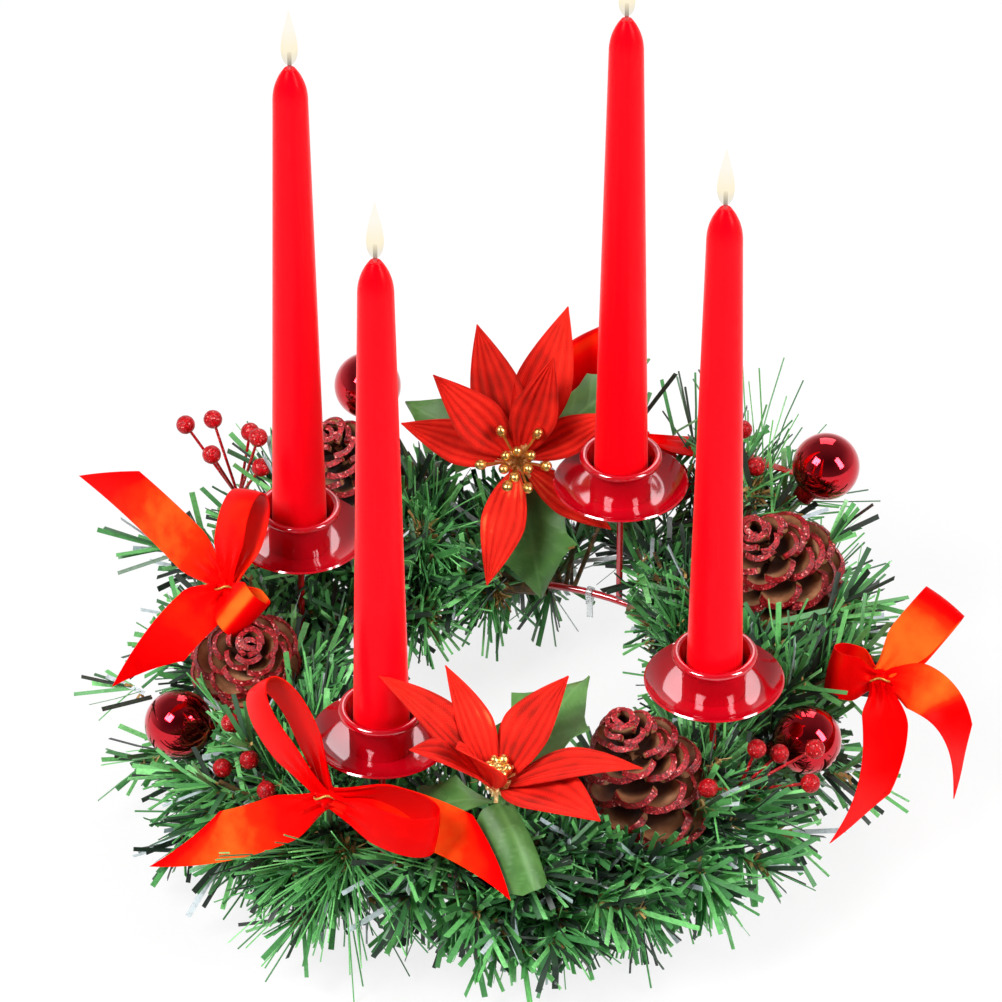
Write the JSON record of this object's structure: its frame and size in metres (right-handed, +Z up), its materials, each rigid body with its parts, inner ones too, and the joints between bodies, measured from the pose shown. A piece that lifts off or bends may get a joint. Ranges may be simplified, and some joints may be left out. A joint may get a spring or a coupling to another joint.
{
  "type": "advent candle holder",
  "caption": "Advent wreath on a red wire ring: artificial pine with poinsettias, pine cones, baubles, berries and ribbon bows, and taper candles standing in cups over drip trays.",
  "frame": {"origin": "on the table top, under the middle of the part's box, which is the centre of the wire ring", "axes": "+Z up along the candles, +X to the right and +Y away from the viewer of the picture"},
  "size_m": [0.3512, 0.2867, 0.322],
  "materials": {
    "red_lacquer": "gloss cherry red lacquer on wire and pressed sheet",
    "red_wax": "smooth dyed wax with a soft sheen",
    "wick_cotton": "braided cotton, waxed below and charred above",
    "pine_needle": "cut strips of green film in light and dark shades",
    "clear_tie": "clear moulded plastic",
    "cone_wood": "dry open scales with red glitter on their rims",
    "cap_metal": "satin red cap",
    "bauble_lacquer": "mirror-bright dark red",
    "berry_glitter": "red beads rolled in fine glitter",
    "green_wire": "paper-wrapped green florist wire",
    "ribbon_satin": "bright red satin ribbon",
    "petal_cloth": "pleated red cloth with an orange shimmer",
    "leaf_cloth": "printed green cloth leaves",
    "stamen_gold": "gold lacquered beads on wire"
  },
  "bodies": {
    "wreath": {"bauble_back": "bauble_lacquer", "bauble_caps": "cap_metal", "bauble_front": "bauble_lacquer", "bauble_left": "bauble_lacquer", "bauble_right": "bauble_lacquer", "berries_back_right": "berry_glitter", "berries_front_left": "berry_glitter", "berries_front_right": "berry_glitter", "berries_left": "berry_glitter", "berry_stems": "green_wire", "candle_cup_back_left": "red_lacquer", "candle_cup_back_right": "red_lacquer", "candle_cup_front_left": "red_lacquer", "candle_cup_front_right": "red_lacquer", "drip_tray_back_left": "red_lacquer", "drip_tray_back_right": "red_lacquer", "drip_tray_front_left": "red_lacquer", "drip_tray_front_right": "red_lacquer", "frame_ring": "red_lacquer", "garland_back_left_a": "pine_needle", "garland_back_left_b": "pine_needle", "garland_back_right_a": "pine_needle", "garland_back_right_b": "pine_needle", "garland_front_left_a": "pine_needle", "garland_front_left_b": "pine_needle", "garland_front_right_a": "pine_needle", "garland_front_right_b": "pine_needle", "garland_ties": "clear_tie", "pick_wires": "green_wire", "pine_cone_back": "cone_wood", "pine_cone_front": "cone_wood", "pine_cone_left": "cone_wood", "pine_cone_right": "cone_wood", "poinsettia_back_leaves": "leaf_cloth", "poinsettia_back_petals": "petal_cloth", "poinsettia_back_stamens": "stamen_gold", "poinsettia_front_leaves": "leaf_cloth", "poinsettia_front_petals": "petal_cloth", "poinsettia_front_stamens": "stamen_gold", "post_back_left": "red_lacquer", "post_back_right": "red_lacquer", "post_front_left": "red_lacquer", "post_front_right": "red_lacquer", "ribbon_bow_back": "ribbon_satin", "ribbon_bow_front_left": "ribbon_satin", "ribbon_bow_left": "ribbon_satin", "ribbon_bow_right": "ribbon_satin"},
    "candle_front_right": {"candle_front_right": "red_wax", "wick_front_right": "wick_cotton"},
    "candle_back_right": {"candle_back_right": "red_wax", "wick_back_right": "wick_cotton"},
    "candle_back_left": {"candle_back_left": "red_wax", "wick_back_left": "wick_cotton"},
    "candle_front_left": {"candle_front_left": "red_wax", "wick_front_left": "wick_cotton"}
  },
  "joints": [
    {"name": "lift_candle_front_right", "type": "slide", "parent": "wreath", "child": "candle_front_right", "axis": [0, 0, 1], "range_m": [0, 0.05]},
    {"name": "lift_candle_back_right", "type": "slide", "parent": "wreath", "child": "candle_back_right", "axis": [0, 0, 1], "range_m": [0, 0.05]},
    {"name": "lift_candle_back_left", "type": "slide", "parent": "wreath", "child": "candle_back_left", "axis": [0, 0, 1], "range_m": [0, 0.05]},
    {"name": "lift_candle_front_left", "type": "slide", "parent": "wreath", "child": "candle_front_left", "axis": [0, 0, 1], "range_m": [0, 0.05]}
  ]
}
